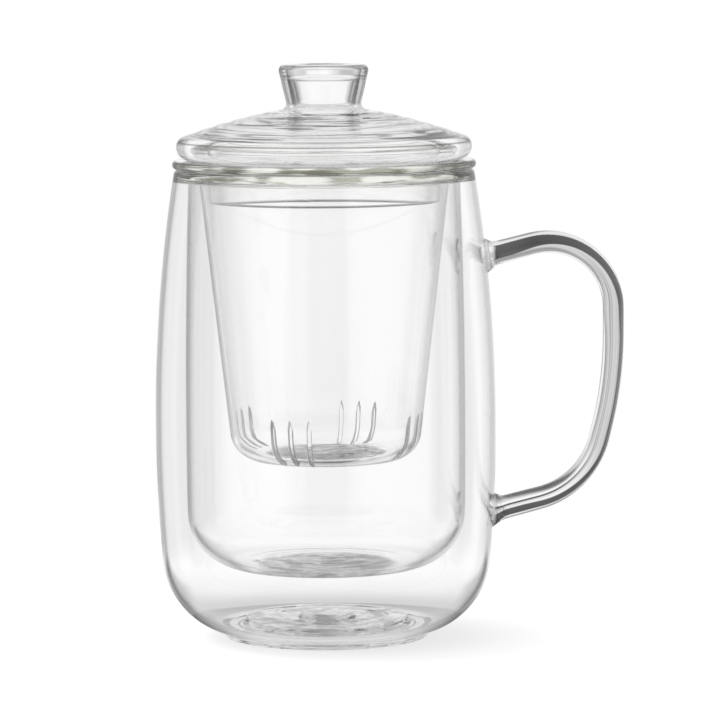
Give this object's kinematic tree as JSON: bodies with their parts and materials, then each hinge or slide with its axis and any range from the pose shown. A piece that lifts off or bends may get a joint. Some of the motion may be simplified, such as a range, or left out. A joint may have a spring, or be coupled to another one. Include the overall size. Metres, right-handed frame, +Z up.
{
  "type": "glass tea infuser mug",
  "caption": "Double-wall clear glass tea mug with a bent rod handle, a slitted glass infuser hung in its mouth and a loose domed lid with a hollow knob.",
  "frame": {"origin": "on the table, at the centre of the foot ring, on the axis of the mug", "axes": "+Z up along the axis of the mug, +X out through the handle, -Y towards the viewer of the picture"},
  "size_m": [0.1212, 0.088, 0.1482],
  "materials": {
    "mug_glass": "clear, fire-polished",
    "handle_glass": "clear, solid rod",
    "infuser_glass": "clear, fire-polished",
    "lid_glass": "clear, hand-worked with faint ripples"
  },
  "bodies": {
    "mug": {"outer_wall": "mug_glass", "inner_wall": "mug_glass", "vent_seal": "mug_glass", "handle": "handle_glass"},
    "infuser": {"infuser": "infuser_glass"},
    "lid": {"lid_dome": "lid_glass", "lid_collar": "lid_glass", "lid_knob": "lid_glass"}
  },
  "joints": [
    {"name": "infuser_lift", "type": "slide", "parent": "mug", "child": "infuser", "axis": [0, 0, 1], "range_m": [0, 0.12]},
    {"name": "lid_lift", "type": "slide", "parent": "infuser", "child": "lid", "axis": [0, 0, 1], "range_m": [0, 0.06]}
  ]
}
